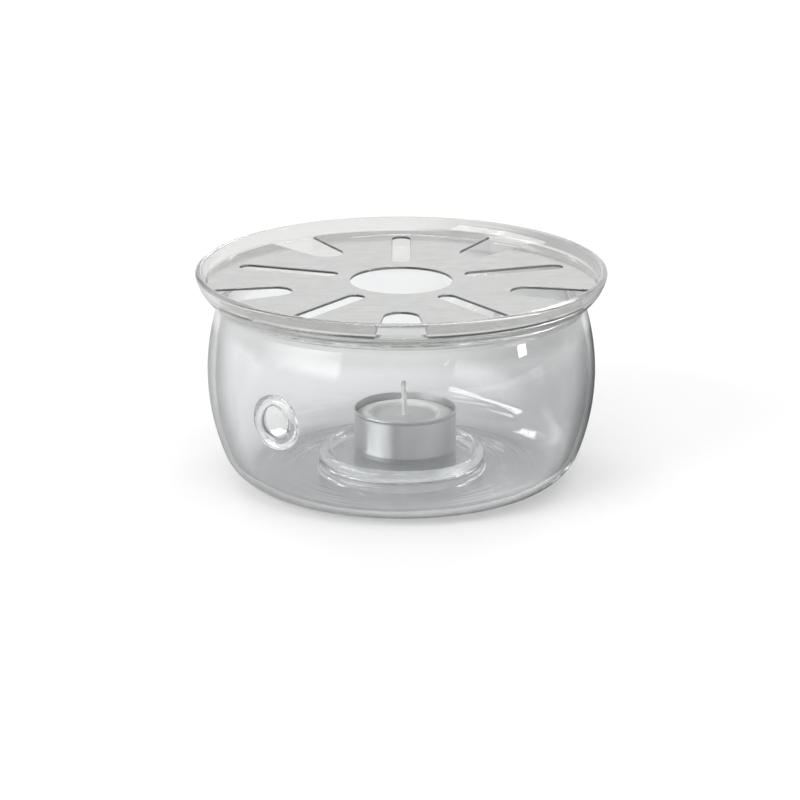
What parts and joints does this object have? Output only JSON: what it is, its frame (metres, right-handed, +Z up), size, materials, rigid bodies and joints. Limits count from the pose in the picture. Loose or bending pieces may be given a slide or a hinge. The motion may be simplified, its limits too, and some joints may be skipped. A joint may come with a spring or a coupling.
{
  "type": "teapot warmer",
  "caption": "Round glass teapot warmer: a bellied bowl with a flared collar, air vents and a raised candle seat, a slotted steel pot plate, and a tealight in a metal cup.",
  "frame": {"origin": "middle of the bowl's foot ring, on the table", "axes": "+Z up along the bowl's axis, -Y towards the viewer of the picture, +X to their right"},
  "size_m": [0.154, 0.154, 0.0805],
  "materials": {
    "clear_glass": "clear, fire-polished",
    "plate_steel": "satin stainless",
    "cup_aluminium": "drawn, bright",
    "candle_wax": "white wax, slightly translucent",
    "wick_cotton": "waxed cotton",
    "clip_tin": "tinned"
  },
  "bodies": {
    "bowl": {"glass_bowl": "clear_glass", "seat_disc": "clear_glass"},
    "plate": {"pot_plate": "plate_steel"},
    "cup": {"candle_cup": "cup_aluminium"},
    "candle": {"candle_wax": "candle_wax", "candle_wick": "wick_cotton", "wick_clip": "clip_tin"}
  },
  "joints": [
    {"name": "plate_lift", "type": "slide", "parent": "bowl", "child": "plate", "axis": [0, 0, 1], "range_m": [0, 0.1]},
    {"name": "candle_lift", "type": "slide", "parent": "bowl", "child": "cup", "axis": [0, 0, 1], "range_m": [0, 0.03]},
    {"name": "wax_lift", "type": "slide", "parent": "cup", "child": "candle", "axis": [0, 0, 1], "range_m": [0, 0.018]}
  ]
}
